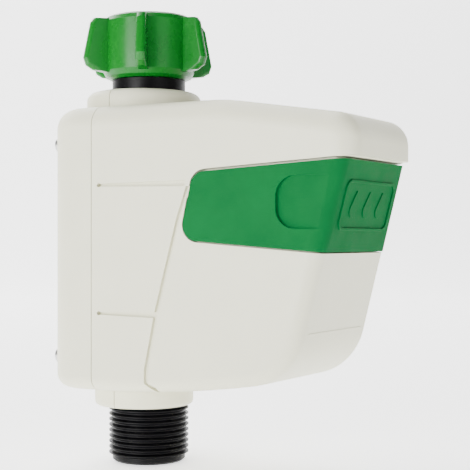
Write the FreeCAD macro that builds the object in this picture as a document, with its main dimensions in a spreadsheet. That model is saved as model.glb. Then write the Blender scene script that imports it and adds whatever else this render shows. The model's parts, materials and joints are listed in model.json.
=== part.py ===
import FreeCAD, Part
import math
import os
import re
import Sketcher

# Drip irrigation timer: a battery valve that hangs from a garden tap.
# Millimetres. The origin is on the water axis, on the washer face that the tap presses.
# +Z is up, towards the tap, the front of the timer faces -Y, and X = 0 is the mid plane.
# "reach" is a distance forward of the water axis, "z" is a height in the frame.

DIMENSIONS = [
    # housing outline
    ("top_z", -18.6), ("bottom_z", -108.5), ("rear_reach", 22.8), ("half_width", 28.3),
    ("seam_y", 2.0), ("side_taper", 0.068), ("corner_round", 14.0),
    ("roof_reach", 85.4), ("roof_start", 42.0), ("roof_front_z", -25.2), ("roof_edge_z", -36.9),
    ("face_reach", 82.7), ("face_lean", 0.262), ("chin_z", -101.9), ("belly_y", 1.0),
    ("roof_round", 8.0), ("chin_round", 20.0), ("long_blend", 60.0),
    ("top_edge_round", 6.6), ("low_edge_round", 4.4),
    ("wall", 2.4), ("groove_depth", 1.0), ("gasket_inner", 1.8), ("recess_inset", 2.8),
    ("recess_inner", 5.2), ("cap_proud", 0.3),
    # collars round the two water fittings
    ("collar_y", 1.9), ("upper_collar_radius", 19.0), ("upper_collar_top", -12.3),
    ("lower_collar_radius", 16.4), ("lower_collar_bottom", -115.5), ("collar_root", 4.0),
    ("upper_collar_round", 3.0), ("lower_collar_round", 1.4),
    # side outline of the battery cap
    ("cap_rear_top_reach", 34.4), ("cap_rear_top_z", -40.7),
    ("cap_rear_low_reach", 29.7), ("cap_rear_low_z", -60.9),
    ("cap_front_top_z", -37.5), ("cap_front_low_z", -65.7), ("cap_front_reach", 90.0),
    ("cap_corner", 5.0), ("cap_gap", 0.4), ("cap_top_gap", 0.75),
    # finger scallops on the cap
    ("scallop_rear_reach", 61.6), ("scallop_low_z", -57.8), ("scallop_high_z", -42.4),
    ("scallop_round", 6.0), ("scallop_half", 23.0),
    # grooves on the sides, and the joint line of the front cover
    ("line_top_reach", 32.6), ("line_top_z", -44.8), ("line_bend_reach", 29.1), ("line_bend_z", -55.0),
    ("line_mid_reach", 21.6), ("line_mid_z", -82.9), ("line_low_reach", 17.9), ("line_low_z", -100.7),
    ("line_foot_reach", 17.8), ("line_foot_z", -105.0), ("line_toe_reach", 20.8), ("line_toe_z", -107.6),
    ("line_half", 0.75), ("rib_start", 0.6), ("upper_rib_z", -43.9), ("lower_rib_z", -83.9),
    ("upper_rib_end", 31.4), ("lower_rib_end", 21.5), ("rib_thin", 0.4), ("rib_thick", 0.9),
    ("rib_pin_radius", 0.65),
    # pipe threads: one standard size at both ends
    ("thread_major", 13.22), ("thread_minor", 12.06), ("pitch", 1.814), ("flank", 0.58),
    ("crest", 0.32), ("thread_room", 0.16),
    # inlet nut
    ("nut_top", 12.7), ("nut_bottom", -8.0), ("nut_radius", 15.1), ("lip_radius", 9.9),
    ("lip_thick", 2.3), ("wing_half", 1.55), ("wing_top", 11.5), ("wing_bottom", -5.6),
    ("wing_top_radius", 20.4), ("wing_low_radius", 23.0), ("wing_round", 1.3),
    # inlet spigot, washer, clip and filter
    ("washer_thick", 2.4), ("washer_radius", 11.7), ("washer_bore", 7.2),
    ("neck_radius", 9.6), ("shoulder_radius", 12.1), ("shoulder_top", -8.3),
    ("shoulder_bottom", -16.2), ("plug_radius", 10.2), ("plug_bottom", -24.0), ("spigot_bore", 6.8),
    ("clip_groove_radius", 8.8), ("clip_radius", 11.4), ("clip_low", -5.3), ("clip_high", -4.1),
    ("screen_rim", 7.1), ("screen_rim_thick", 1.2), ("screen_radius", 6.2), ("screen_skin", 0.6),
    ("screen_bottom", -15.0), ("screen_slot", 0.9), ("seal_wire", 0.62), ("seal_z", -20.0),
    # valve body
    ("socket_radius", 12.6), ("socket_bore", 10.35), ("socket_bottom", -26.5),
    ("pipe_radius", 9.6), ("pipe_bore", 6.8), ("inlet_floor", -73.0), ("outlet_bore", 8.0),
    ("outlet_smooth", 12.8), ("outlet_smooth_top", -103.0), ("thread_start", -115.9),
    ("outlet_end", -134.0), ("valve_z", -83.0), ("cup_radius", 17.5), ("cup_bore", 14.8),
    ("cup_back", 1.0), ("cup_floor", 4.0), ("cup_rim", 14.0), ("seat_radius", 8.0),
    ("seat_bore", 6.0), ("seat_drop", 1.2), ("ear_offset", 13.8), ("ear_radius", 3.0),
    ("ear_hole", 1.15),
    # pilot valve: distances forward of the water axis
    ("diaphragm_radius", 16.6), ("diaphragm_thick", 1.2), ("poppet_neck", 3.9),
    ("poppet_plate", 9.6), ("poppet_plate_thick", 1.2),
    ("bonnet_front", 24.5), ("bonnet_cavity", 22.0), ("bonnet_bore", 12.6), ("pilot_height", 1.5),
    ("pilot_radius", 2.2), ("pilot_bore", 0.8), ("spring_wire", 0.35), ("poppet_spring_radius", 5.2),
    ("plunger_spring_radius", 1.7),
    ("guide_radius", 5.6), ("guide_bore", 4.6), ("guide_flange", 8.0), ("guide_flange_thick", 1.2),
    ("guide_front", 48.0), ("plunger_radius", 4.3), ("plunger_rear", 27.2), ("plunger_front", 41.0),
    ("plunger_bore", 2.2), ("plunger_floor", 33.0), ("stop_rear", 43.0), ("pad_radius", 2.6),
    ("bobbin_rear", 26.2), ("bobbin_front", 46.0), ("bobbin_radius", 12.4), ("bobbin_flange", 1.2),
    ("bobbin_hub", 6.6), ("winding_radius", 11.6), ("magnet_radius", 6.0), ("magnet_thick", 2.6),
    ("yoke_thick", 1.2), ("yoke_half", 8.0), ("bobbin_room", 0.1),
    # battery compartment
    ("bay_half", 16.2), ("bay_floor", -62.4), ("bay_ceiling", -40.4), ("bay_rear", 19.1),
    ("bay_wall", 1.6), ("tray_half", 15.0), ("tray_low", -61.5), ("tray_high", -43.6),
    ("tray_rear", 23.0), ("tray_front", 76.4), ("tray_wall", 1.4), ("tray_nose_half", 11.0),
    ("cell_half", 13.25), ("cell_low", -60.0), ("cell_high", -42.5), ("cell_rear", 24.3),
    ("cell_front", 70.2), ("stud_spacing", 6.35), ("stud_rear", 21.5), ("stud_radius", 2.9),
    ("ring_rear", 71.1), ("ring_front", 72.9), ("ring_half", 15.85), ("ring_low", -62.05),
    ("ring_high", -40.75), ("plug_high", -41.3), ("ring_depth", 0.6),
    ("contact_thick", 0.8), ("contact_reach", 21.1),
    # electronics
    ("board_half", 19.6), ("board_low", -33.6), ("board_high", -32.0), ("board_rear", 12.4),
    ("board_front", 75.0), ("post_radius", 2.6), ("post_x", 14.0), ("post_reach", 28.0),
    ("wire", 1.2), ("battery_wire_x", 6.0), ("battery_wire_z", -51.0), ("battery_wire_y", 13.6),
    ("coil_wire_x", 18.8), ("coil_wire_reach", 34.0),
    # screws
    ("screw_x", 20.5), ("screw_high_z", -30.0), ("screw_low_z", -98.6), ("screw_seat", 19.2),
    ("screw_head", 2.7), ("screw_head_thick", 1.8), ("screw_shank", 1.45), ("screw_tip", 9.5),
    ("well_radius", 3.3), ("tube_radius", 4.4), ("boss_radius", 3.2), ("boss_reach", 12.0),
    ("cross_long", 1.5), ("cross_thin", 0.35), ("cross_deep", 0.9), ("web_half", 0.8),
    ("bonnet_head", 1.9), ("bonnet_head_thick", 1.6), ("board_shank", 0.75), ("board_head", 1.9),
    ("board_head_thick", 1.3), ("gasket_room", 0.7), ("gasket_thick", 0.65),
    ("parting_gap", 0.25), ("parting_depth", 1.0),
]

NUT_TURNS = 7
OUTLET_TURNS = 9
WINGS = 6
WING_TURN = 28.0
SCREEN_SLOTS = 14
FRONTWARDS = FreeCAD.Rotation(FreeCAD.Vector(1, 0, 0), 90)
TINY = 1e-3

doc = FreeCAD.newDocument("irrigation_timer")
sheet = doc.addObject("Spreadsheet::Sheet", "Params")
for row, (alias, number) in enumerate(DIMENSIONS, start=1):
    sheet.set("A%d" % row, alias)
    sheet.set("B%d" % row, str(number))
    sheet.setAlias("B%d" % row, alias)
reckoner = doc.addObject("Spreadsheet::Sheet", "Reckoner")
doc.recompute()
nodes = []


# ---------------------------------------------------------------- shared helpers

def size(alias):
    """The value that the sheet holds for one driving dimension."""
    return float(sheet.get(alias))


def value(text):
    """The number that an expression of aliases comes to, worked out on a second sheet."""
    reckoner.set("A1", "=" + linked(text))
    reckoner.recompute()
    return float(reckoner.get("A1"))


def linked(text):
    """An expression in which each alias points at the sheet."""
    return re.sub(r"[a-z]\w*", lambda word: "Params." + word.group(0), str(text))


def bind(item, target, text):
    item.setExpression(target, linked(text))


def new_body(name):
    body = doc.addObject("PartDesign::Body", name)
    body.Label = name
    return body


def new_sketch(body, role, height=None):
    """A sketch on one of the body's origin planes, lifted along the plane's normal."""
    sketch = body.newObject("Sketcher::SketchObject", body.Name + "_sketch")
    plane = [item for item in body.Origin.OriginFeatures if item.Role == role][0]
    sketch.AttachmentSupport = (plane, [""])
    sketch.MapMode = "FlatFace"
    if height is not None:
        bind(sketch, "AttachmentOffset.Base.z", height)
    return sketch


def add_outline(sketch, corners):
    """A closed outline. Each corner is a pair of expressions; a third one makes the edge that
    follows it an arc of that radius, with its centre on the left."""
    first = sketch.GeometryCount
    count = len(corners)
    points = [FreeCAD.Vector(value(corner[0]), value(corner[1]), 0) for corner in corners]
    edges = []
    for i, corner in enumerate(corners):
        start, end = points[i], points[(i + 1) % count]
        edges.append(left_arc(start, end, value(corner[2])) if len(corner) > 2
                     else Part.LineSegment(start, end))
    sketch.addGeometry(edges, False)
    sketch.addConstraint([Sketcher.Constraint("Coincident", first + i, 2, first + (i + 1) % count, 1)
                          for i in range(count)])
    for i, corner in enumerate(corners):
        rules = [Sketcher.Constraint("DistanceX", -1, 1, first + i, 1, points[i].x),
                 Sketcher.Constraint("DistanceY", -1, 1, first + i, 1, points[i].y)]
        if len(corner) > 2:
            rules.append(Sketcher.Constraint("Radius", first + i, edges[i].Radius))
        for rule, text in zip(rules, corner):
            bind(sketch, "Constraints[%d]" % sketch.addConstraint(rule), text)


def left_arc(start, end, radius):
    """The arc from start to end that turns left."""
    chord = end - start
    rise = math.sqrt(radius ** 2 - (chord.Length / 2) ** 2)
    normal = FreeCAD.Vector(-chord.y, chord.x, 0).normalize()
    centre = (start + end) * 0.5 + normal * rise
    angles = [math.atan2(point.y - centre.y, point.x - centre.x) for point in (start, end)]
    circle = Part.Circle(centre, FreeCAD.Vector(0, 0, 1), radius)
    return Part.ArcOfCircle(circle, angles[0], angles[1])


def add_circle(sketch, across, up, radius):
    """A circle placed and sized by three expressions."""
    index = sketch.addGeometry(Part.Circle(FreeCAD.Vector(1, 1, 0), FreeCAD.Vector(0, 0, 1), 3), False)
    for kind, value, text in (("DistanceX", 1, across), ("DistanceY", 1, up)):
        rule = sketch.addConstraint(Sketcher.Constraint(kind, -1, 1, index, 3, value))
        bind(sketch, "Constraints[%d]" % rule, text)
    rule = sketch.addConstraint(Sketcher.Constraint("Radius", index, 3))
    bind(sketch, "Constraints[%d]" % rule, radius)


def rectangle(low_x, low_y, high_x, high_y):
    return [(low_x, low_y), (high_x, low_y), (high_x, high_y), (low_x, high_y)]


def add_pad(body, sketch, length, side="One side", backwards=False):
    pad = body.newObject("PartDesign::Pad", body.Name + "_pad")
    pad.Profile = sketch
    pad.SideType = side
    pad.Reversed = backwards
    bind(pad, "Length", length)
    return pad


def add_pocket(body, sketch, length, side="One side", backwards=False):
    """A pocket that has to take material away."""
    doc.recompute()
    before = body.Shape.Volume
    pocket = body.newObject("PartDesign::Pocket", body.Name + "_pocket")
    pocket.Profile = sketch
    pocket.SideType = side
    pocket.Reversed = backwards
    bind(pocket, "Length", length)
    doc.recompute()
    if pocket.Shape.isNull() or pocket.Shape.Volume > before - TINY:
        raise RuntimeError(pocket.Name + " cuts nothing")
    return pocket


def add_revolution(body, sketch):
    turned = body.newObject("PartDesign::Revolution", body.Name + "_turned")
    turned.Profile = sketch
    turned.ReferenceAxis = (sketch, ["V_Axis"])
    turned.Angle = 360
    return turned


def add_pattern(body, feature, count):
    """Copies of one feature, evenly round the body's Z axis."""
    pattern = body.newObject("PartDesign::PolarPattern", body.Name + "_pattern")
    pattern.Originals = [feature]
    axis = [item for item in body.Origin.OriginFeatures if item.Role == "Z_Axis"][0]
    pattern.Axis = (axis, [""])
    pattern.Angle = 360
    pattern.Occurrences = count
    body.Tip = pattern
    return pattern


def add_fillet(body, radius, chosen):
    """Rounds the edges of the body's last feature for which the test holds."""
    doc.recompute()
    base = body.Tip
    names = ["Edge%d" % (i + 1) for i, edge in enumerate(base.Shape.Edges) if chosen(edge)]
    if not names:
        raise RuntimeError(body.Name + " has no edge to round")
    fillet = body.newObject("PartDesign::Fillet", body.Name + "_round")
    fillet.Base = (base, names)
    bind(fillet, "Radius", radius)
    doc.recompute()
    if fillet.Shape.isNull() or not fillet.isValid():
        raise RuntimeError(fillet.Name + " failed on %d edges" % len(names))
    return fillet


def turned(name, outline, forward=None):
    """A turned piece. It stands on Z, or lies along the valve's axis, pointing forward."""
    body = new_body(name)
    add_outline(new_sketch(body, "XZ_Plane"), outline)
    add_revolution(body, body.Group[-1])
    if forward:
        lay_forward(body)
    return body


def lay_forward(item):
    """Turns the item's +Z to the front and moves it to the height of the valve."""
    item.Placement = FreeCAD.Placement(FreeCAD.Vector(0, 0, size("valve_z")), FRONTWARDS)
    bind(item, "Placement.Base.z", "valve_z")


def ring(inner, outer, low, high):
    """The section of a plain ring."""
    return rectangle(inner, low, outer, high)


def box(name, low, high):
    """A block between two corners, each three expressions."""
    item = doc.addObject("Part::Box", name)
    for side, axis, start, end in zip(("Length", "Width", "Height"), "xyz", low, high):
        bind(item, side, "(%s) - (%s)" % (end, start))
        bind(item, "Placement.Base." + axis, start)
    item.Label = name
    return item


def prism(name, corners, radius=None, rounded=()):
    """A side outline given as (reach, z), extruded across the whole width of the housing."""
    body = new_body(name)
    sketch = new_sketch(body, "YZ_Plane")
    add_outline(sketch, [("-(%s)" % reach, up) for reach, up in corners])
    add_pad(body, sketch, "4 * half_width", "Symmetric")
    if radius:
        doc.recompute()
        spots = [sketch.Geometry[i].StartPoint for i in rounded]
        add_fillet(body, radius, lambda edge: crosswise_at(edge, spots))
    return body


def crosswise_at(edge, spots):
    """True for a straight edge along X whose (y, z) is one of the spots."""
    span = edge.Vertexes[-1].Point - edge.Vertexes[0].Point
    if abs(span.y) > TINY or abs(span.z) > TINY or abs(span.x) < 1:
        return False
    place = edge.Vertexes[0].Point
    return any(abs(place.y - spot.x) < TINY and abs(place.z - spot.y) < TINY for spot in spots)


def upright(edge):
    span = edge.Vertexes[-1].Point - edge.Vertexes[0].Point
    return abs(span.x) < TINY and abs(span.y) < TINY and abs(span.z) > 1


def join(name, items):
    result = doc.addObject("Part::MultiFuse", name)
    result.Shapes = items
    result.Refine = True
    result.Label = name
    return result


def minus(name, base, items):
    """The base with every one of the items taken away."""
    tool = items[0] if len(items) == 1 else join(name + "_tools", items)
    result = doc.addObject("Part::Cut", name)
    result.Base = base
    result.Tool = tool
    result.Refine = True
    result.Label = name
    return result


def shared(name, items):
    """The volume that lies inside all the items."""
    result = doc.addObject("Part::MultiCommon", name)
    result.Shapes = items
    result.Refine = True
    result.Label = name
    return result


def node(item):
    nodes.append(item)
    return item


# ---------------------------------------------------------------- the housing's form

def block(name, inset, front, outline, rounds, edge_round, edge_level):
    """A tapering block with round rear corners, cut to a side outline and rounded at one end."""
    body = new_body(name)
    depth = "(%s)" % inset
    wide = "half_width + side_taper * (rear_reach - %s - seam_y) - %s" % (depth, depth)
    narrow = "half_width - side_taper * (seam_y + %s - %s) - %s" % (front, depth, depth)
    rear = "rear_reach - %s" % depth
    ahead = "-(%s) + %s" % (front, depth)
    plan = new_sketch(body, "XY_Plane", "bottom_z + %s" % depth)
    add_outline(plan, [(wide, rear), (narrow, ahead), ("-(%s)" % narrow, ahead), ("-(%s)" % wide, rear)])
    add_pad(body, plan, "top_z - bottom_z - 2 * %s" % depth)
    back = value("rear_reach - %s" % depth)
    add_fillet(body, "corner_round - %s" % depth,
               lambda edge: upright(edge) and abs(edge.Vertexes[0].Y - back) < TINY)
    side = new_sketch(body, "YZ_Plane")
    add_outline(side, outline)
    add_pocket(body, side, "4 * half_width", "Symmetric")
    for radius, corner in rounds:
        place = side.Geometry[corner].StartPoint
        add_fillet(body, radius, lambda edge: crosswise_at(edge, [place]))
    if edge_round:
        add_fillet(body, "%s - %s" % (edge_round, depth), lambda edge: lengthwise_at(edge, edge_level))
    return body


def envelope(name, inset, rounded=True):
    """The housing's outer form, with every surface moved inwards by the inset."""
    depth = "(%s)" % inset
    split = "roof_edge_z + %s" % depth
    upper = block(name + "_upper", inset, "roof_reach", [
        ("-roof_start", "top_z - %s" % depth),
        ("-roof_reach + %s" % depth, "roof_front_z - 0.88 * %s" % depth),
        ("-2 * roof_reach", "roof_front_z - 0.88 * %s" % depth),
        ("-2 * roof_reach", "0"), ("-roof_start", "0"),
    ], [("long_blend", 0), ("roof_round - %s" % depth, 1)],
        "top_edge_round" if rounded else None, value("top_z - %s" % depth))
    chin_y = "face_lean * (roof_edge_z - chin_z) - face_reach + 0.76 * %s" % depth
    chin_up = "chin_z + 0.943 * %s" % depth
    rise = "(%s - bottom_z - %s)" % (chin_up, depth)
    sweep = "((belly_y - (%s)) ^ 2 + %s ^ 2) / (2 * %s)" % (chin_y, rise, rise)
    lower = block(name + "_lower", inset, "face_reach + 12", [
        ("-face_reach + face_lean * roof_edge_z + 1.037 * %s" % depth, "0"),
        (chin_y, chin_up, sweep),
        ("belly_y", "bottom_z + %s" % depth), ("belly_y", "2 * bottom_z"),
        ("-2 * roof_reach", "2 * bottom_z"), ("-2 * roof_reach", "0"),
    ], [("chin_round - %s" % depth, 1)],
        "low_edge_round" if rounded else None, value("bottom_z + %s" % depth))
    above = box(name + "_above", ("-2 * half_width", "-2 * roof_reach", split),
                ("2 * half_width", "2 * rear_reach", "0"))
    below = box(name + "_below", ("-2 * half_width", "-2 * roof_reach", "2 * bottom_z"),
                ("2 * half_width", "2 * rear_reach", split))
    return join(name, [shared(name + "_roof", [upper, above]), shared(name + "_foot", [lower, below])])


def lengthwise_at(edge, level):
    """True for an edge at one height that runs mostly along Y, on the widest part of the side."""
    first = edge.Vertexes[0].Point
    last = edge.Vertexes[-1].Point
    level_edge = abs(first.z - level) < TINY and abs(last.z - level) < TINY
    return level_edge and abs(last.y - first.y) > 5 and abs(first.x) > 20


# ---------------------------------------------------------------- housing shells

outer_form = envelope("outer_form", "0")
cavity_form = envelope("cavity_form", "wall")
groove_form = envelope("groove_form", "groove_depth")
gasket_form = envelope("gasket_form", "gasket_inner")
recess_form = envelope("recess_form", "recess_inset")
inner_form = envelope("inner_form", "recess_inner", rounded=False)
cap_form = envelope("cap_form", "-cap_proud")


def collar(name, radius, low, high, rim_z, rim_round):
    """A round collar on the housing, its outer rim rounded."""
    body = new_body(name)
    sketch = new_sketch(body, "XY_Plane", low)
    add_circle(sketch, "0", "collar_y", radius)
    add_pad(body, sketch, "(%s) - (%s)" % (high, low))
    add_fillet(body, rim_round, lambda edge: abs(edge.BoundBox.ZMin - size(rim_z)) < TINY
               and edge.BoundBox.ZLength < TINY)
    return body


def cylinder(name, radius, low, high, across="0", along="0"):
    """A plain upright round tool or boss between two heights."""
    item = doc.addObject("Part::Cylinder", name)
    bind(item, "Radius", radius)
    bind(item, "Height", "(%s) - (%s)" % (high, low))
    bind(item, "Placement.Base.x", across)
    bind(item, "Placement.Base.y", along)
    bind(item, "Placement.Base.z", low)
    item.Label = name
    return item


def rod(name, radius, start, end, across, level):
    """A plain round tool or boss lying along Y, from one reach to another."""
    item = doc.addObject("Part::Cylinder", name)
    item.Placement.Rotation = FRONTWARDS
    bind(item, "Radius", radius)
    bind(item, "Height", "(%s) - (%s)" % (end, start))
    bind(item, "Placement.Base.x", across)
    bind(item, "Placement.Base.y", "-(%s)" % start)
    bind(item, "Placement.Base.z", level)
    item.Label = name
    return item


def band(name, gap, top_gap, start_offset):
    """The side outline of the battery cap, widened by a gap."""
    return prism(name, [
        ("cap_rear_top_reach - (%s)" % start_offset, "cap_rear_top_z + (%s)" % top_gap),
        ("cap_rear_low_reach - (%s)" % start_offset, "cap_rear_low_z - (%s)" % gap),
        ("cap_front_reach", "cap_front_low_z - (%s)" % gap),
        ("cap_front_reach", "cap_front_top_z + (%s)" % top_gap),
    ], "cap_corner + (%s)" % start_offset, (0, 1))


cap_block = band("cap_block", "0", "0", "0")
bay_block = band("bay_block", "cap_gap", "cap_top_gap", "cap_gap")
rim_block = band("rim_block", "wall + cap_gap", "wall + cap_top_gap", "wall + cap_gap")

JOINT_LINE = [("line_top_reach", "line_top_z"), ("line_bend_reach", "line_bend_z"),
              ("line_mid_reach", "line_mid_z"), ("line_low_reach", "line_low_z"),
              ("line_foot_reach", "line_foot_z")]


def strip(line, half):
    """A narrow outline along a line: down one side and back up the other."""
    down = [("%s - %s" % (reach, half), up) for reach, up in line]
    back = [("%s + %s" % (reach, half), up) for reach, up in reversed(line)]
    return down + [("line_toe_reach", "line_toe_z - %s" % half),
                   ("line_toe_reach", "line_toe_z + 2 * %s" % half)] + back


def rib(name, level, end):
    """A tapering groove that runs back from the joint line."""
    return prism(name, [("rib_start", "%s - rib_thin" % level), (end, "%s - rib_thick" % level),
                        (end, "%s + rib_thick" % level), ("rib_start", "%s + rib_thin" % level)])


def pin_hole(name, level):
    """The small round hole at the blind end of a groove, through both sides."""
    item = doc.addObject("Part::Cylinder", name)
    item.Placement.Rotation = FreeCAD.Rotation(FreeCAD.Vector(0, 1, 0), 90)
    bind(item, "Radius", "rib_pin_radius")
    bind(item, "Height", "4 * half_width")
    bind(item, "Placement.Base.x", "-2 * half_width")
    bind(item, "Placement.Base.y", "-rib_start")
    bind(item, "Placement.Base.z", level)
    return item


line_block = prism("line_block", strip(JOINT_LINE, "line_half"))
ribs = [rib("upper_rib", "upper_rib_z", "upper_rib_end"), rib("lower_rib", "lower_rib_z", "lower_rib_end")]
shallow_grooves = minus("shallow_grooves", join("groove_blocks", [line_block] + ribs), [groove_form])
pin_holes = join("pin_holes", [pin_hole("upper_pin_hole", "upper_rib_z"),
                               pin_hole("lower_pin_hole", "lower_rib_z")])
deep_dots = minus("deep_dots", pin_holes, [gasket_form])
grooves = join("grooves", [shallow_grooves, deep_dots])

cover_block = prism("cover_block", [
    ("line_bend_reach - 0.5", "line_bend_z - 2"), ("line_mid_reach", "line_mid_z"),
    ("line_low_reach", "line_low_z"), ("line_foot_reach", "line_foot_z"),
    ("line_foot_reach + 1", "2 * bottom_z"), ("cap_front_reach + 5", "2 * bottom_z"),
    ("cap_front_reach + 5", "line_bend_z - 2"),
])

collars = [
    collar("upper_collar", "upper_collar_radius", "top_z - collar_root", "upper_collar_top",
           "upper_collar_top", "upper_collar_round"),
    collar("lower_collar", "lower_collar_radius", "lower_collar_bottom", "bottom_z + collar_root",
           "lower_collar_bottom", "lower_collar_round"),
]
bores = join("collar_bores", [
    cylinder("upper_bore", "socket_radius + 0.1", "top_z - 2 * collar_root", "upper_collar_top + 1"),
    cylinder("lower_bore", "outlet_smooth + 0.12", "lower_collar_bottom - 1", "bottom_z + 2 * collar_root"),
])
bores_and_cavity = join("bores_and_cavity", [cavity_form, bores])
whole_form = join("whole_form", [outer_form] + collars)
skin = minus("skin", whole_form, [bores_and_cavity])

rear_half = box("rear_half", ("-2 * half_width", "seam_y", "2 * bottom_z"),
                ("2 * half_width", "2 * rear_reach", "-top_z"))
front_half = box("front_half", ("-2 * half_width", "-2 * roof_reach", "2 * bottom_z"),
                 ("2 * half_width", "seam_y", "-top_z"))

SCREW_SPOTS = [(side, level) for side in ("screw_x", "-screw_x")
               for level in ("screw_high_z", "screw_low_z")]


def at_screws(name, radius, start, end):
    """The same rod at each of the four housing screws."""
    return [rod("%s_%d" % (name, i), radius, start, end, across, level)
            for i, (across, level) in enumerate(SCREW_SPOTS)]


def rear_shell():
    """The half that faces the wall: screw wells, a gasket groove and half of each collar."""
    ring_block = box("gasket_slab", ("-2 * half_width", "seam_y - 1", "2 * bottom_z"),
                     ("2 * half_width", "seam_y + gasket_room", "-top_z"))
    groove = minus("gasket_groove", shared("gasket_plate", [ring_block, groove_form]), [gasket_form])
    tubes = join("screw_tubes", at_screws("tube", "tube_radius", "-rear_reach", "-seam_y"))
    hollow = minus("rear_hollow", cavity_form, [tubes])
    solid = minus("rear_solid", shared("rear_block", [whole_form, rear_half]), [hollow])
    wells = at_screws("well", "well_radius", "-rear_reach - 3", "-screw_seat")
    holes = at_screws("shank_hole", "screw_shank + 0.15", "-rear_reach", "seam_y")
    drilled = minus("rear_drilled", minus("rear_bored", solid, [bores]), wells + holes)
    return node(minus("rear_shell", drilled, [groove, parting_line()]))


def parting_line():
    """The fine gap that shows where the two halves of the housing meet."""
    slab = box("parting_slab", ("-2 * half_width", "seam_y - 1", "2 * bottom_z"),
               ("2 * half_width", "seam_y + parting_gap", "-top_z"))
    cores = [cylinder("parting_core_%d" % i, "%s - parting_depth" % radius, low, high, "0", "collar_y")
             for i, (radius, low, high) in enumerate((
                 ("upper_collar_radius", "top_z - 2 * collar_root", "upper_collar_top + 1"),
                 ("lower_collar_radius", "lower_collar_bottom - 1", "bottom_z + 2 * collar_root")))]
    return minus("parting_line", slab, [groove_form] + cores)


def shell_gasket():
    """A soft ring in the seam between the two halves of the housing."""
    slab = box("gasket_part", ("-2 * half_width", "seam_y", "2 * bottom_z"),
               ("2 * half_width", "seam_y + gasket_thick", "-top_z"))
    loop = minus("gasket_loop", shared("gasket_layer", [slab, groove_form]), [gasket_form])
    return node(minus("shell_gasket", loop, [bores]))


def main_shell():
    """The front half: roof, sides and the stepped bay that the battery cap wraps round."""
    front = shared("front_skin", [skin, front_half])
    bay_skin = minus("bay_skin", shared("bay_layer", [rim_block, recess_form]), [inner_form])
    rim = minus("bay_rim", shared("rim_layer", [rim_block, outer_form]),
                [inner_form, bay_block, cover_block])
    open_front = minus("open_front", front, [cover_block, bay_block])
    bosses = join("screw_bosses", at_screws("boss", "boss_radius", "-seam_y", "boss_reach"))
    held = []
    for i, (across, level) in enumerate(SCREW_SPOTS):
        up = level == "screw_high_z"
        low = level if up else "bottom_z + 0.5 * wall"
        high = "top_z - 0.5 * wall" if up else level
        held.append(box("boss_web_%d" % i, ("%s - web_half" % across, "-boss_reach + 0.1", low),
                        ("%s + web_half" % across, "seam_y", high)))
    posts = [cylinder("board_post_%d" % i, "post_radius", "board_high", "top_z - 0.5 * wall",
                      across, "-post_reach") for i, across in enumerate(("post_x", "-post_x"))]
    solid = join("main_solid", [open_front, bay_skin, rim, bosses] + held + posts)
    mouth = box("bay_mouth", ("-bay_half - bay_wall", "-cap_front_reach", "bay_floor - bay_wall"),
                ("bay_half + bay_wall", "-bay_rear", "bay_ceiling + bay_wall"))
    drills = at_screws("pilot_hole", "screw_shank - 0.1", "-seam_y - 1", "screw_tip + 0.6")
    for i, across in enumerate(("post_x", "-post_x")):
        drills.append(cylinder("post_hole_%d" % i, "0.8", "board_high - 1", "board_high + 5.5",
                               across, "-post_reach"))
    return node(minus("main_shell", solid, [mouth, grooves, bores] + drills))


def front_cover():
    """The lower front panel, from the slanting joint line round to the underside."""
    panel = shared("cover_panel", [shared("cover_skin", [skin, front_half]), cover_block])
    return node(minus("front_cover", panel, [bay_block, grooves, bores]))


def shell_screws():
    """Four pan-head screws from the rear into the front half."""
    heads = at_screws("screw_head", "screw_head", "-screw_seat - screw_head_thick", "-screw_seat")
    shanks = at_screws("screw_shank", "screw_shank - 0.1", "-screw_seat", "screw_tip")
    slots = []
    for i, (across, level) in enumerate(SCREW_SPOTS):
        for tag, wide, tall in (("a", "cross_long", "cross_thin"), ("b", "cross_thin", "cross_long")):
            slots.append(box("slot_%d%s" % (i, tag),
                             ("%s - %s" % (across, wide), "screw_seat + screw_head_thick - cross_deep",
                              "%s - %s" % (level, tall)),
                             ("%s + %s" % (across, wide), "screw_seat + 2 * screw_head_thick",
                              "%s + %s" % (level, tall))))
    return node(minus("shell_screws", join("screw_solids", heads + shanks), slots))


rear_shell()
shell_gasket()
main_shell()
front_cover()
shell_screws()


# ---------------------------------------------------------------- battery drawer

def battery_cap():
    """The green band: it wraps both sides and the front. The finger scallop on each side has a
    floor parallel to the mid plane, so it runs out to nothing at the tapering front."""
    shell = minus("cap_shell", shared("cap_layer", [cap_block, cap_form]), [cavity_form])
    body = new_body("scallop_block")
    sketch = new_sketch(body, "YZ_Plane")
    add_outline(sketch, rectangle("-cap_front_reach", "scallop_low_z",
                                  "-scallop_rear_reach", "scallop_high_z"))
    add_pad(body, sketch, "4 * half_width", "Symmetric")
    rear = -size("scallop_rear_reach")
    add_fillet(body, "scallop_round", lambda edge: crosswise_at(edge, [
        FreeCAD.Vector(rear, size("scallop_low_z"), 0), FreeCAD.Vector(rear, size("scallop_high_z"), 0)]))
    floor = box("scallop_floor", ("-scallop_half", "-2 * roof_reach", "2 * bottom_z"),
                ("scallop_half", "0", "0"))
    return node(minus("battery_cap", shell, [minus("scallop_tool", body, [floor])]))


def ring_core(name):
    """The block inside the seal: the plug of the tray, less the depth of the seal's groove."""
    return box(name, ("-tray_half + ring_depth", "-ring_front - 1", "tray_low + ring_depth"),
               ("tray_half - ring_depth", "-ring_rear + 1", "plug_high - ring_depth"))


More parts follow.
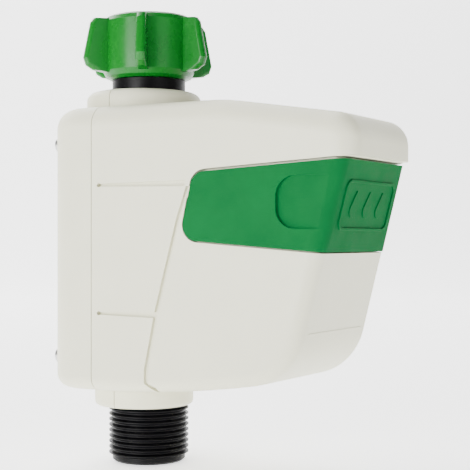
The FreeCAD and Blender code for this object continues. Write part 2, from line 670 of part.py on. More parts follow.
def battery_tray():
    """An open box that carries the battery, behind a taller plug that is joined to the cap."""
    outside = box("tray_outside", ("-tray_half", "-tray_front", "tray_low"),
                  ("tray_half", "-tray_rear", "tray_high"))
    plug = box("tray_plug", ("-tray_half", "-tray_front", "tray_low"),
               ("tray_half", "-cell_front - 0.3", "plug_high"))
    inside = box("tray_inside", ("-tray_half + tray_wall", "-cell_front - 0.3", "tray_low + tray_wall"),
                 ("tray_half - tray_wall", "0", "0"))
    nose = box("tray_nose", ("-tray_nose_half", "-cap_front_reach", "tray_low + 3"),
               ("tray_nose_half", "-tray_front + 1", "tray_high - 3"))
    fitted = shared("fitted_tray", [join("tray_and_nose", [outside, plug, nose]), cavity_form])
    slot = box("ring_slot", ("-2 * tray_half", "-ring_front", "bottom_z"),
               ("2 * tray_half", "-ring_rear", "0"))
    groove = minus("ring_groove", slot, [ring_core("groove_core")])
    return node(minus("battery_tray", fitted, [inside, groove]))


def battery_seal():
    """A soft ring round the plug, just inside the mouth of the bay."""
    outside = box("seal_outside", ("-ring_half", "-ring_front + 0.05", "ring_low"),
                  ("ring_half", "-ring_rear - 0.05", "ring_high"))
    return node(minus("battery_seal", outside, [ring_core("seal_core")]))


def battery():
    """A nine volt block, lying with its studs to the rear."""
    block = new_body("battery")
    sketch = new_sketch(block, "XZ_Plane")
    add_outline(sketch, rectangle("-cell_half", "cell_low", "cell_half", "cell_high"))
    add_pad(block, sketch, "cell_front - cell_rear")
    add_fillet(block, "1.6", lambda edge: abs(edge.Vertexes[-1].Y - edge.Vertexes[0].Y) > 20)
    bind(block, "Placement.Base.y", "-cell_rear")
    return node(block)


def battery_terminals():
    """The two snap studs on the rear end of the battery."""
    middle = "0.5 * (cell_low + cell_high)"
    studs = [rod("stud_%d" % i, "stud_radius", "stud_rear", "cell_rear", across, middle)
             for i, across in enumerate(("stud_spacing", "-stud_spacing"))]
    socket = rod("stud_socket", "stud_radius - 0.7", "stud_rear - 1", "cell_rear - 0.5",
                 "stud_spacing", middle)
    return node(minus("battery_terminals", join("studs", studs), [socket]))


def battery_sleeve():
    """The dry pocket that the tray slides into, closed at the rear."""
    outside = box("sleeve_outside", ("-bay_half - bay_wall", "-cap_front_reach", "bay_floor - bay_wall"),
                  ("bay_half + bay_wall", "-bay_rear + bay_wall", "bay_ceiling + bay_wall"))
    fitted = shared("fitted_sleeve", [outside, recess_form])
    inside = box("sleeve_inside", ("-bay_half", "-cap_front_reach", "bay_floor"),
                 ("bay_half", "-bay_rear", "bay_ceiling"))
    return node(minus("battery_sleeve", fitted, [inside]))


def contact_plate():
    """The insulating plate on the rear wall of the sleeve."""
    return node(box("contact_plate", ("-cell_half", "-bay_rear - contact_thick", "cell_low + 0.5"),
                    ("cell_half", "-bay_rear", "cell_high - 0.5")))


def contact_springs():
    """Two sprung discs that the battery's studs press."""
    middle = "0.5 * (cell_low + cell_high)"
    discs = [rod("contact_%d" % i, "stud_radius - 0.2", "bay_rear + contact_thick", "contact_reach",
                 across, middle) for i, across in enumerate(("stud_spacing", "-stud_spacing"))]
    return node(join("contact_springs", discs))


for make in (battery_cap, battery_tray, battery_seal, battery, battery_terminals, battery_sleeve,
             contact_plate, contact_springs):
    make()


# ---------------------------------------------------------------- water inlet

def inlet_nut():
    """A six-winged swivel nut with an inside pipe thread and a lip that holds it on the spigot."""
    body = new_body("inlet_nut")
    root = "thread_major + thread_room"
    inside = [(root, "nut_bottom + lip_thick")]
    for i in range(NUT_TURNS):
        base = "%d * pitch" % i
        inside += [(root, "%s - flank" % base), ("thread_minor", base),
                   ("thread_minor", "%s + crest" % base), (root, "%s + crest + flank" % base)]
    outline = [("lip_radius", "nut_bottom"), ("nut_radius - 2.6", "nut_bottom"),
               ("nut_radius - 0.9", "nut_bottom + 0.8"), ("nut_radius", "nut_bottom + 2.6"),
               ("nut_radius", "nut_top - 1.9"), ("nut_radius - 0.6", "nut_top - 0.6"),
               ("nut_radius - 1.4", "nut_top"), (root, "nut_top")]
    add_outline(new_sketch(body, "XZ_Plane"),
                outline + list(reversed(inside)) + [("lip_radius", "nut_bottom + lip_thick")])
    add_revolution(body, body.Group[-1])
    sketch = new_sketch(body, "XZ_Plane")
    add_outline(sketch, [
        ("nut_radius - 0.8", "wing_bottom - 0.6"), ("wing_low_radius - 3.2", "wing_bottom"),
        ("wing_low_radius - 0.9", "wing_bottom + 1.3"), ("wing_low_radius", "wing_bottom + 3.8"),
        ("wing_top_radius + 0.2", "wing_top - 1.6"), ("wing_top_radius - 0.9", "wing_top - 0.2"),
        ("nut_radius - 0.8", "wing_top")])
    wing = add_pad(body, sketch, "2 * wing_half", "Symmetric")
    doc.recompute()
    add_pattern(body, wing, WINGS)
    limit = size("nut_radius") + 1.5
    add_fillet(body, "wing_round", lambda edge: min(
        math.hypot(v.X, v.Y) for v in edge.Vertexes) > limit - 1.6 and edge_reach(edge) > limit
        and not across_wing(edge))
    turn = FreeCAD.Rotation(FreeCAD.Vector(0, 0, 1), WING_TURN)
    body.Placement = FreeCAD.Placement(FreeCAD.Vector(0, 0, 0), turn)
    return node(body)


def edge_reach(edge):
    return max(math.hypot(v.X, v.Y) for v in edge.Vertexes)


def across_wing(edge):
    """True for the short edges that cross the thickness of a wing."""
    return edge.Length < 2 * size("wing_half") + TINY and edge.BoundBox.ZLength < TINY


def inlet_washer():
    return node(turned("inlet_washer", ring("washer_bore", "washer_radius", "-washer_thick", "0")))


def inlet_spigot():
    """The black tail that the nut turns on; its lower end plugs into the valve body."""
    seat = "-washer_thick - screen_rim_thick"
    low_groove = "seal_z - 1.25"
    high_groove = "seal_z + 1.25"
    return node(turned("inlet_spigot", [
        ("screen_rim + 0.1", "-washer_thick"), ("neck_radius", "-washer_thick"),
        ("neck_radius", "clip_high + 0.05"), ("clip_groove_radius", "clip_high + 0.05"),
        ("clip_groove_radius", "clip_low - 0.05"), ("neck_radius", "clip_low - 0.05"),
        ("neck_radius", "shoulder_top"), ("shoulder_radius", "shoulder_top"),
        ("shoulder_radius", "shoulder_bottom"), ("plug_radius", "shoulder_bottom"),
        ("plug_radius", high_groove), ("plug_radius - 1.2", high_groove),
        ("plug_radius - 1.2", low_groove), ("plug_radius", low_groove),
        ("plug_radius", "plug_bottom"), ("spigot_bore", "plug_bottom"),
        ("spigot_bore", seat), ("screen_rim + 0.1", seat)]))


def spigot_clip():
    """A spring clip in the neck's groove, which stops the nut coming off."""
    whole = turned("clip_ring", ring("clip_groove_radius + 0.05", "clip_radius", "clip_low", "clip_high"))
    gap = box("clip_gap", ("-3", "0", "clip_low - 1"), ("3", "2 * clip_radius", "clip_high + 1"))
    return node(minus("spigot_clip", whole, [gap]))


def filter_screen():
    """A slotted cup that sits in the mouth of the spigot."""
    body = turned("filter_screen", [
        ("screen_radius - screen_skin", "-washer_thick"), ("screen_rim", "-washer_thick"),
        ("screen_rim", "-washer_thick - screen_rim_thick"),
        ("screen_radius", "-washer_thick - screen_rim_thick"), ("screen_radius - 0.9", "screen_bottom"),
        ("0", "screen_bottom"), ("0", "screen_bottom + screen_skin"),
        ("screen_radius - 0.9 - screen_skin", "screen_bottom + screen_skin")])
    sketch = new_sketch(body, "YZ_Plane")
    add_outline(sketch, rectangle("-0.5 * screen_slot", "screen_bottom + 1.6",
                                  "0.5 * screen_slot", "-washer_thick - screen_rim_thick - 0.9"))
    slot = add_pocket(body, sketch, "2 * screen_radius", "One side", backwards=True)
    add_pattern(body, slot, SCREEN_SLOTS)
    return node(body)


def o_ring(name, radius, wire, level):
    ring_shape = doc.addObject("Part::Torus", name)
    bind(ring_shape, "Radius1", radius)
    bind(ring_shape, "Radius2", wire)
    ring_shape.Label = name
    bind(ring_shape, "Placement.Base.z", level)
    return ring_shape


for make in (inlet_nut, inlet_washer, inlet_spigot, spigot_clip, filter_screen):
    make()
node(o_ring("spigot_seal", "plug_radius - 0.5", "seal_wire", "seal_z"))


# ---------------------------------------------------------------- valve

EAR_SPOTS = [(a, b) for a in ("ear_offset", "-ear_offset") for b in ("ear_offset", "-ear_offset")]


def ears(sketch, radius):
    """A circle at each of the four screws that hold the bonnet."""
    for across, up in EAR_SPOTS:
        add_circle(sketch, across, "valve_z + (%s)" % up, radius)


def valve_body():
    """One black moulding: inlet socket, valve cup with its seat, and the threaded outlet."""
    body = new_body("valve_body")
    start = "thread_start"
    thread = [("thread_minor", start)]
    for i in range(OUTLET_TURNS):
        base = "%s - %d * pitch" % (start, i)
        thread += [("thread_major", "%s - flank" % base), ("thread_major", "%s - flank - crest" % base),
                   ("thread_minor", "%s - 2 * flank - crest" % base),
                   ("thread_minor", "%s - pitch" % base)]
    thread = thread[:-1]
    add_outline(new_sketch(body, "XZ_Plane"), [
        ("0", "shoulder_bottom - 0.1"), ("socket_radius", "shoulder_bottom - 0.1"),
        ("socket_radius", "socket_bottom"), ("pipe_radius", "socket_bottom - 2"),
        ("pipe_radius", "outlet_smooth_top"), ("outlet_smooth", "outlet_smooth_top - 2"),
        ("outlet_smooth", start)] + thread + [
        ("thread_minor", "outlet_end + 0.7"), ("thread_minor - 0.8", "outlet_end"), ("0", "outlet_end")])
    add_revolution(body, body.Group[-1])
    cup = new_sketch(body, "XZ_Plane", "cup_back")
    add_circle(cup, "0", "valve_z", "cup_radius")
    add_pad(body, cup, "cup_rim - cup_back")
    lugs = new_sketch(body, "XZ_Plane", "cup_floor")
    ears(lugs, "ear_radius")
    add_pad(body, lugs, "cup_rim - cup_floor")
    hollow = new_sketch(body, "XZ_Plane", "cup_rim")
    add_circle(hollow, "0", "valve_z", "cup_bore")
    add_circle(hollow, "0", "valve_z", "seat_radius")
    add_pocket(body, hollow, "cup_rim - cup_floor")
    seat = new_sketch(body, "XZ_Plane", "cup_rim")
    add_circle(seat, "0", "valve_z", "seat_radius")
    add_pocket(body, seat, "seat_drop")
    throat = new_sketch(body, "XZ_Plane", "cup_rim - seat_drop")
    add_circle(throat, "0", "valve_z", "seat_bore")
    add_pocket(body, throat, "cup_rim - seat_drop")
    holes = new_sketch(body, "XZ_Plane", "cup_rim")
    ears(holes, "ear_hole")
    add_pocket(body, holes, "0.8 * (cup_rim - cup_floor)")
    for level, radius, depth, up in (
            ("shoulder_bottom - 0.1", "socket_bore", "shoulder_bottom - 0.1 - plug_bottom + 0.2", False),
            ("plug_bottom - 0.1", "pipe_bore", "plug_bottom - inlet_floor", False),
            ("outlet_end", "outlet_bore", "valve_z - outlet_end", True)):
        bore = new_sketch(body, "XY_Plane", level)
        add_circle(bore, "0", "0", radius)
        add_pocket(body, bore, depth, backwards=up)
    return node(body)


def diaphragm():
    """The rubber disc clamped between the valve cup and the bonnet."""
    return node(turned("diaphragm", [
        ("poppet_neck + 0.05", "cup_rim"), ("diaphragm_radius", "cup_rim"),
        ("diaphragm_radius", "cup_rim + diaphragm_thick"),
        ("poppet_neck + 0.05", "cup_rim + diaphragm_thick")], forward=True))


def poppet():
    """The moving disc that closes the seat, and the plate that the spring pushes."""
    rear = "cup_rim - seat_drop"
    front = "cup_rim + diaphragm_thick"
    return node(turned("poppet", [
        ("0", rear), ("seat_radius - 0.3", rear), ("seat_radius - 0.3", "cup_rim - 0.05"),
        ("poppet_neck", "cup_rim - 0.05"), ("poppet_neck", "%s + 0.05" % front),
        ("poppet_plate", "%s + 0.05" % front), ("poppet_plate", "%s + poppet_plate_thick" % front),
        ("0", "%s + poppet_plate_thick" % front)], forward=True))


def bonnet():
    """The cover of the valve: spring chamber at the rear, pilot nozzle and guide seat in front."""
    rear = "cup_rim + diaphragm_thick"
    body = turned("bonnet_disc", [
        ("bonnet_bore", rear), ("cup_radius", rear), ("cup_radius", "bonnet_front - 2"),
        ("guide_flange + 2", "bonnet_front"), ("pilot_radius", "bonnet_front"),
        ("pilot_radius", "bonnet_front + pilot_height"), ("pilot_bore", "bonnet_front + pilot_height"),
        ("pilot_bore", "bonnet_cavity"), ("bonnet_bore", "bonnet_cavity")], forward=True)
    lugs = [rod("bonnet_lug_%d" % i, "ear_radius", rear, "bonnet_front - 3", across,
                "valve_z + (%s)" % up) for i, (across, up) in enumerate(EAR_SPOTS)]
    chamber = rod("chamber", "bonnet_bore", rear, "bonnet_cavity", "0", "valve_z")
    holes = [rod("lug_hole_%d" % i, "ear_hole + 0.1", rear, "bonnet_front - 2", across,
                 "valve_z + (%s)" % up) for i, (across, up) in enumerate(EAR_SPOTS)]
    solid = join("bonnet_solid", [body] + lugs)
    return node(minus("bonnet", solid, holes + [chamber]))


def bonnet_screws():
    """Four screws through the bonnet's lugs into the valve cup."""
    parts = []
    for i, (across, up) in enumerate(EAR_SPOTS):
        level = "valve_z + (%s)" % up
        parts.append(rod("bonnet_shank_%d" % i, "ear_hole - 0.05", "cup_floor + 3", "bonnet_front - 2.9",
                         across, level))
        parts.append(rod("bonnet_head_%d" % i, "bonnet_head", "bonnet_front - 3",
                         "bonnet_front - 3 + bonnet_head_thick", across, level))
    return node(join("bonnet_screws", parts))


def coil_spring(name, radius, start, end, turns):
    """An open spring along the valve's axis, between two planes."""
    wire = size("spring_wire")
    rise = value(end) - value(start) - 2 * wire - 0.1
    path = Part.makeHelix(rise / turns, rise, size(radius))
    ring_face = Part.Wire(Part.makeCircle(wire, FreeCAD.Vector(size(radius), 0, 0), FreeCAD.Vector(0, 1, 0)))
    item = doc.addObject("Part::Feature", name)
    item.Label = name
    item.Shape = Part.Wire(path).makePipeShell([ring_face], True, True)
    base = FreeCAD.Vector(0, -(value(start) + wire + 0.05), size("valve_z"))
    item.Placement = FreeCAD.Placement(base, FRONTWARDS)
    return item


def solenoid_guide():
    """The plastic tube that the plunger slides in, closed in front by the fixed stop."""
    rear = "bonnet_front"
    return node(turned("solenoid_guide", [
        ("guide_bore", rear), ("guide_flange", rear), ("guide_flange", "%s + guide_flange_thick" % rear),
        ("guide_radius", "%s + guide_flange_thick" % rear), ("guide_radius", "guide_front"),
        ("guide_bore", "guide_front")], forward=True))


def plunger():
    """The steel slug that the coil pulls, with a blind hole for its return spring."""
    return node(turned("plunger", [
        ("0", "plunger_rear"), ("plunger_radius", "plunger_rear"), ("plunger_radius", "plunger_front"),
        ("plunger_bore", "plunger_front"), ("plunger_bore", "plunger_floor"), ("0", "plunger_floor")],
        forward=True))


def plunger_seal():
    return node(turned("plunger_seal", [
        ("0", "bonnet_front + pilot_height"), ("pad_radius", "bonnet_front + pilot_height"),
        ("pad_radius", "plunger_rear"), ("0", "plunger_rear")], forward=True))


def core_stop():
    return node(turned("core_stop", [
        ("0", "stop_rear"), ("guide_bore - 0.05", "stop_rear"), ("guide_bore - 0.05", "guide_front"),
        ("0", "guide_front")], forward=True))


def solenoid_bobbin():
    """The spool that the coil is wound on."""
    hub = "guide_radius + bobbin_room"
    return node(turned("solenoid_bobbin", [
        (hub, "bobbin_rear"), ("bobbin_radius", "bobbin_rear"),
        ("bobbin_radius", "bobbin_rear + bobbin_flange"), ("bobbin_hub", "bobbin_rear + bobbin_flange"),
        ("bobbin_hub", "bobbin_front - bobbin_flange"), ("bobbin_radius", "bobbin_front - bobbin_flange"),
        ("bobbin_radius", "bobbin_front"), (hub, "bobbin_front")], forward=True))


def coil_winding():
    return node(turned("coil_winding", ring(
        "bobbin_hub", "winding_radius", "bobbin_rear + bobbin_flange", "bobbin_front - bobbin_flange"),
        forward=True))


def solenoid_magnet():
    """The disc magnet that holds the plunger open between pulses."""
    return node(turned("solenoid_magnet", [
        ("0", "guide_front"), ("magnet_radius", "guide_front"),
        ("magnet_radius", "guide_front + magnet_thick"), ("0", "guide_front + magnet_thick")],
        forward=True))


def solenoid_yoke():
    """A bent steel strap round the coil, over the magnet."""
    outside = box("yoke_outside",
                  ("-bobbin_radius - yoke_thick - 0.1", "-guide_front - magnet_thick - yoke_thick",
                   "valve_z - yoke_half"),
                  ("bobbin_radius + yoke_thick + 0.1", "-bobbin_rear", "valve_z + yoke_half"))
    inside = box("yoke_inside",
                 ("-bobbin_radius - 0.1", "-guide_front - magnet_thick", "valve_z - yoke_half - 1"),
                 ("bobbin_radius + 0.1", "0", "valve_z + yoke_half + 1"))
    return node(minus("solenoid_yoke", outside, [inside]))


for make in (valve_body, diaphragm, poppet, bonnet, bonnet_screws, solenoid_guide, plunger,
             plunger_seal, core_stop, solenoid_bobbin, coil_winding, solenoid_magnet, solenoid_yoke):
    make()
node(coil_spring("poppet_spring", "poppet_spring_radius",
                 "cup_rim + diaphragm_thick + poppet_plate_thick", "bonnet_cavity", 3))
node(coil_spring("plunger_spring", "plunger_spring_radius", "plunger_floor", "stop_rear", 6))


# ---------------------------------------------------------------- electronics

def circuit_board():
    """The board that hangs under the roof."""
    plate = box("board_plate", ("-board_half", "-board_front", "board_low"),
                ("board_half", "-board_rear", "board_high"))
    holes = [cylinder("board_hole_%d" % i, "1.1", "board_low - 1", "board_high + 1", across,
                      "-post_reach") for i, across in enumerate(("post_x", "-post_x"))]
    return node(minus("circuit_board", plate, holes))


def board_screws():
    parts = []
    for i, across in enumerate(("post_x", "-post_x")):
        parts.append(cylinder("board_shank_%d" % i, "board_shank", "board_low - 0.5", "board_high + 4.5",
                              across, "-post_reach"))
        parts.append(cylinder("board_head_%d" % i, "board_head", "board_low - board_head_thick", "board_low",
                              across, "-post_reach"))
    return node(join("board_screws", parts))


def on_board(name, across, reach, half_wide, half_long, tall):
    """A block soldered to the top of the board."""
    return box(name, ("%s - %s" % (across, half_wide), "-%s - %s" % (reach, half_long), "board_high"),
               ("%s + %s" % (across, half_wide), "-%s + %s" % (reach, half_long), "board_high + %s" % tall))


def lead(name, runs, radii):
    """Wires that leave square, turn once on a round bend and end square."""
    wires = []
    thick = size("wire") / 2
    for (start, corner, end), bend in zip(runs, radii):
        into = (corner - start).normalize()
        out = (end - corner).normalize()
        first = corner - into * bend
        last = corner + out * bend
        middle = corner - (into - out) * bend + (into - out) * (bend / math.sqrt(2))
        path = Part.Wire([Part.makeLine(start, first), Part.Arc(first, middle, last).toShape(),
                          Part.makeLine(last, end)])
        section = Part.Wire(Part.makeCircle(thick, start, into))
        wires.append(path.makePipeShell([section], True, True))
    item = doc.addObject("Part::Feature", name)
    item.Label = name
    item.Shape = Part.makeCompound(wires)
    item.Placement = FreeCAD.Placement()
    return node(item)


def battery_leads():
    """Two wires from the rear of the battery sleeve up to the board."""
    runs = []
    for side in (1, -1):
        x = side * size("battery_wire_x")
        level = size("battery_wire_z")
        runs.append((FreeCAD.Vector(x, size("bay_wall") - size("bay_rear"), level),
                     FreeCAD.Vector(x, -size("battery_wire_y"), level),
                     FreeCAD.Vector(x, -size("battery_wire_y"), size("board_low"))))
    return lead("battery_leads", runs, (2.4, 2.4))


def solenoid_leads():
    """Two wires from the coil, out to the side and up past the sleeve to the board."""
    runs = []
    for side in (1, -1):
        x = side * size("coil_wire_x")
        y = -size("coil_wire_reach")
        level = size("valve_z") + size("yoke_half") + 1.2
        underside = level - size("wire") / 2 - size("valve_z")
        start = math.sqrt(size("winding_radius") ** 2 - underside ** 2)
        runs.append((FreeCAD.Vector(side * start, y, level), FreeCAD.Vector(x, y, level),
                     FreeCAD.Vector(x, y, size("board_low"))))
    return lead("solenoid_leads", runs, (4.0, 4.0))


circuit_board()
board_screws()
node(on_board("controller_chip", "5", "45", "5", "5", "1.3"))
node(on_board("radio_module", "-7.5", "60", "7", "9", "2.4"))
node(on_board("clock_crystal", "-8", "42", "1.6", "4", "1.8"))
node(cylinder("pulse_capacitor", "4", "board_high", "board_high + 7", "9", "-62"))
battery_leads()
solenoid_leads()


# ---------------------------------------------------------------- checks and output

doc.recompute()
for item in doc.Objects:
    if "Invalid" in item.State or "Error" in item.State:
        raise RuntimeError("%s failed: %s" % (item.Name, item.State))
for item in nodes:
    if item.Shape.isNull() or not item.Shape.isValid() or item.Shape.Volume < TINY:
        raise RuntimeError(item.Label + " is not a valid solid")
os.makedirs("parts", exist_ok=True)
for item in nodes:
    item.Shape.exportStep("parts/%s.step" % item.Label)
    print("%-20s %2d solids %9.1f mm3" % (item.Label, len(item.Shape.Solids), item.Shape.Volume))
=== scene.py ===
import json
import math

import bmesh
import bpy
from mathutils import Matrix, Vector


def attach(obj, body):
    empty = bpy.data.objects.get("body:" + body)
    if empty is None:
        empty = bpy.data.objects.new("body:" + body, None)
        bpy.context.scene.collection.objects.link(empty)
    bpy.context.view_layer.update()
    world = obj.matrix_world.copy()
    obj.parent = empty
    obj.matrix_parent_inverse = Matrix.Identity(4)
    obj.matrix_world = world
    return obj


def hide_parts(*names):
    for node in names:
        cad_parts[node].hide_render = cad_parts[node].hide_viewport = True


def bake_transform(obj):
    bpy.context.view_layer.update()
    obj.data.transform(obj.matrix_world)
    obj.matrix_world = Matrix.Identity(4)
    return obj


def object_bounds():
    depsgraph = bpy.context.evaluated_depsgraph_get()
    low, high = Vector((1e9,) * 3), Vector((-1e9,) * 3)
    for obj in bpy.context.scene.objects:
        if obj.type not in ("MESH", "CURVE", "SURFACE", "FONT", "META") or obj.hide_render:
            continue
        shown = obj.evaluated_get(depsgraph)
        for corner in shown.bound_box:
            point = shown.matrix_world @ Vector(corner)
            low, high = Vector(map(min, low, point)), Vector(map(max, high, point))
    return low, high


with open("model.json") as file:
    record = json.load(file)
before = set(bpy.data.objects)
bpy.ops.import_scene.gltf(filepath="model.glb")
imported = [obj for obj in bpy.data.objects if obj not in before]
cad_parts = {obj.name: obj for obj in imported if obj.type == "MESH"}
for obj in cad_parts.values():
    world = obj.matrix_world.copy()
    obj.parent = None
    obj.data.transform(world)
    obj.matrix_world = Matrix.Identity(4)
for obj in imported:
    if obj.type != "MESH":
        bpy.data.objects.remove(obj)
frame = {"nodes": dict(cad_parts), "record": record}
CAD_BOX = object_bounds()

# Drip irrigation timer. Metres, in the row frame: +Z up towards the tap, the front faces -Y.

MM = 0.001
NODES = frame["nodes"]
MIDDLE = (CAD_BOX[0] + CAD_BOX[1]) / 2

# the camera, level with the timer's middle and turned to its front left
VIEW_AZIMUTH = -59.0
LENS = 88.85
SENSOR = 36.0
SHIFT_Y = 0.0106
CAMERA_PLACE = Vector((-0.3169, -0.2239, -0.061))

# the front face leans back towards its foot: Y = FACE_Y - FACE_LEAN * Z, for the case and the band
FACE_LEAN = 0.262
CASE_FACE_Y = -92.37 * MM
BAND_FACE_Y = -92.68 * MM

# raised details: how deep they sit, their bevel, and their sizes in the face's own plane
SINK = 0.2 * MM
BEVEL = 0.12 * MM
RIM_HALF_WIDTH, RIM_HALF_HEIGHT, RIM_CORNER = 17.0 * MM, 7.6 * MM, 3.0 * MM
RIM_WIDE, RIM_PROUD, RIM_Z = 0.9 * MM, 0.45 * MM, -50.9 * MM
DROP_RADIUS, DROP_TIP, DROP_PROUD, DROP_STEP = 2.5 * MM, 5.6 * MM, 0.3 * MM, 9.0 * MM
LINE_HALF_WIDTH, LINE_HALF_HEIGHT, LINE_PROUD, LINE_Z = 18.0 * MM, 0.35 * MM, 0.16 * MM, -88.5 * MM
ARC_STEPS = 12


# surface noise, shared by the materials
NOISE_ROUGHNESS = 0.55
RAMP_START, RAMP_END = 0.3, 0.7
FLOW_MARK, SHEEN_MARK = 14 * MM, 6 * MM

# springs inside the valve: the end that the housing holds and the end that moves
SPRINGS = [
    ("poppet_spring", "poppet", -22.3 * MM, -16.1 * MM),
    ("plunger_spring", "plunger", -43.3 * MM, -32.7 * MM),
]

# the studio, in metres: a sheet that runs back from the camera's side, bends up and ends high
SHEET_HALF_WIDTH, SHEET_NEAR, SHEET_BACK, SHEET_BEND, SHEET_HEIGHT = 3.2, -2.0, 1.1, 0.5, 2.2
SHEET_DROP = 0.4 * MM
SHEET_BEND_STEPS = 16
SHEET_GLOW = 1.6
WORLD_STRENGTH = 0.15
LIGHTS = [  # name, azimuth, elevation, distance, width, power in watts
    ("key", -100, -4, 0.9, 0.5, 19.0),
    ("front_fill", -20, 0, 1.1, 0.6, 2.5),
    ("top", -80, 65, 1.2, 0.7, 4.0),
    ("sweep", 160, 55, 1.6, 1.6, 60.0),
]


# ---------------------------------------------------------------- material helpers

def new_material(name):
    """An empty node material with its shader, and a coordinate node in the row's own metres."""
    material = bpy.data.materials.new(name)
    material.use_nodes = True
    tree = material.node_tree
    shader = tree.nodes["Principled BSDF"]
    place = tree.nodes.new("ShaderNodeTexCoord")
    return material, tree, shader, place.outputs["Object"]


def noise(tree, place, grain, detail=4.0):
    """Noise whose features are about 'grain' metres across."""
    node = tree.nodes.new("ShaderNodeTexNoise")
    node.inputs["Scale"].default_value = 1 / grain
    node.inputs["Detail"].default_value = detail
    node.inputs["Roughness"].default_value = NOISE_ROUGHNESS
    tree.links.new(place, node.inputs["Vector"])
    return node.outputs["Fac"]


def ramp(tree, source, low, high):
    """The source spread between two values or two colours."""
    node = tree.nodes.new("ShaderNodeValToRGB")
    bottom, top = node.color_ramp.elements
    bottom.position, top.position = RAMP_START, RAMP_END
    bottom.color = low if isinstance(low, tuple) else (low, low, low, 1)
    top.color = high if isinstance(high, tuple) else (high, high, high, 1)
    tree.links.new(source, node.inputs["Fac"])
    return node.outputs["Color"]


def bump(tree, source, height):
    """The source as a relief of that height in metres."""
    node = tree.nodes.new("ShaderNodeBump")
    node.inputs["Distance"].default_value = height
    node.inputs["Strength"].default_value = 1.0
    tree.links.new(source, node.inputs["Height"])
    return node.outputs["Normal"]


def shade(colour, amount):
    """A colour made lighter or darker by a factor."""
    return tuple(min(1.0, part * amount) for part in colour) + (1,)


def moulded(name, colour, rough, grain, relief, spread=0.06, coat=0.0, specular=0.5):
    """A moulded plastic: slight flow marks in the colour, a fine texture on the surface."""
    material, tree, shader, place = new_material(name)
    cloud = noise(tree, place, FLOW_MARK, 3.0)
    tree.links.new(ramp(tree, cloud, shade(colour, 1 - spread), shade(colour, 1 + spread)),
                   shader.inputs["Base Color"])
    tree.links.new(ramp(tree, noise(tree, place, SHEEN_MARK), rough - 0.05, rough + 0.05),
                   shader.inputs["Roughness"])
    fine = noise(tree, place, grain, 2.0)
    tree.links.new(bump(tree, fine, relief), shader.inputs["Normal"])
    shader.inputs["Specular IOR Level"].default_value = specular
    shader.inputs["Coat Weight"].default_value = coat
    shader.inputs["Coat Roughness"].default_value = 0.12
    return material


def metal(name, colour, rough, grain=0.5 * MM):
    """A metal with fine tool marks and slight tarnish."""
    material, tree, shader, place = new_material(name)
    tree.links.new(ramp(tree, noise(tree, place, 3 * MM), shade(colour, 0.85), shade(colour, 1.08)),
                   shader.inputs["Base Color"])
    tree.links.new(ramp(tree, noise(tree, place, 1.5 * MM), rough - 0.07, rough + 0.09),
                   shader.inputs["Roughness"])
    tree.links.new(bump(tree, noise(tree, place, grain), 0.01 * MM), shader.inputs["Normal"])
    shader.inputs["Metallic"].default_value = 1.0
    return material


def winding(name):
    """Enamelled wire wound round the bobbin, whose axis lies along Y."""
    material, tree, shader, place = new_material(name)
    wave = tree.nodes.new("ShaderNodeTexWave")
    wave.bands_direction = "Y"
    wave.inputs["Scale"].default_value = 0.3 / (0.35 * MM)
    wave.inputs["Distortion"].default_value = 0.4
    tree.links.new(place, wave.inputs["Vector"])
    tree.links.new(ramp(tree, wave.outputs["Fac"], (0.2, 0.06, 0.02, 1), (0.62, 0.27, 0.1, 1)),
                   shader.inputs["Base Color"])
    tree.links.new(bump(tree, wave.outputs["Fac"], 0.08 * MM), shader.inputs["Normal"])
    shader.inputs["Metallic"].default_value = 0.8
    shader.inputs["Roughness"].default_value = 0.35
    return material


MATERIALS = {
    "cream_plastic": moulded("cream_plastic", (0.71, 0.70, 0.53), 0.45, 0.35 * MM, 0.012 * MM, 0.015,
                             specular=0.35),
    "green_gloss": moulded("green_gloss", (0.0, 0.13, 0.010), 0.28, 1.2 * MM, 0.008 * MM, 0.05,
                           specular=0.28),
    "green_grain": moulded("green_grain", (0.0, 0.095, 0.022), 0.7, 0.45 * MM, 0.07 * MM, 0.08,
                           specular=0.06),
    "black_nylon": moulded("black_nylon", (0.0015, 0.0015, 0.002), 0.38, 0.4 * MM, 0.015 * MM, 0.15,
                           specular=0.12),
    "soft_seal": moulded("soft_seal", (0.02, 0.02, 0.02), 0.7, 0.3 * MM, 0.02 * MM, 0.2, specular=0.3),
    "grey_plastic": moulded("grey_plastic", (0.13, 0.14, 0.14), 0.45, 0.4 * MM, 0.015 * MM),
    "screen_plastic": moulded("screen_plastic", (0.6, 0.62, 0.58), 0.4, 0.4 * MM, 0.01 * MM),
    "zinc_steel": metal("zinc_steel", (0.58, 0.58, 0.56), 0.34),
    "bare_iron": metal("bare_iron", (0.42, 0.42, 0.42), 0.38),
    "nickel": metal("nickel", (0.72, 0.69, 0.62), 0.2),
    "copper_wire": winding("copper_wire"),
    "battery_case": moulded("battery_case", (0.03, 0.035, 0.045), 0.3, 0.8 * MM, 0.006 * MM, 0.1, 0.3),
    "board_green": moulded("board_green", (0.01, 0.13, 0.05), 0.28, 0.6 * MM, 0.02 * MM, 0.12, 0.3),
    "chip_black": moulded("chip_black", (0.012, 0.012, 0.012), 0.55, 0.2 * MM, 0.012 * MM, 0.1),
    "shield_metal": metal("shield_metal", (0.62, 0.63, 0.64), 0.26),
    "red_wire": moulded("red_wire", (0.35, 0.01, 0.01), 0.38, 0.4 * MM, 0.01 * MM, 0.1),
}


def dress_nodes():
    """Gives every CAD node the detailed material of its own slot."""
    for entry in frame["record"]["subparts"]:
        node = NODES[entry["node"]]
        material = MATERIALS[entry["material_slot"]]
        if not node.material_slots:
            raise RuntimeError(entry["node"] + " has no material slot")
        for slot in node.material_slots:
            slot.material = material


dress_nodes()


# ---------------------------------------------------------------- raised details

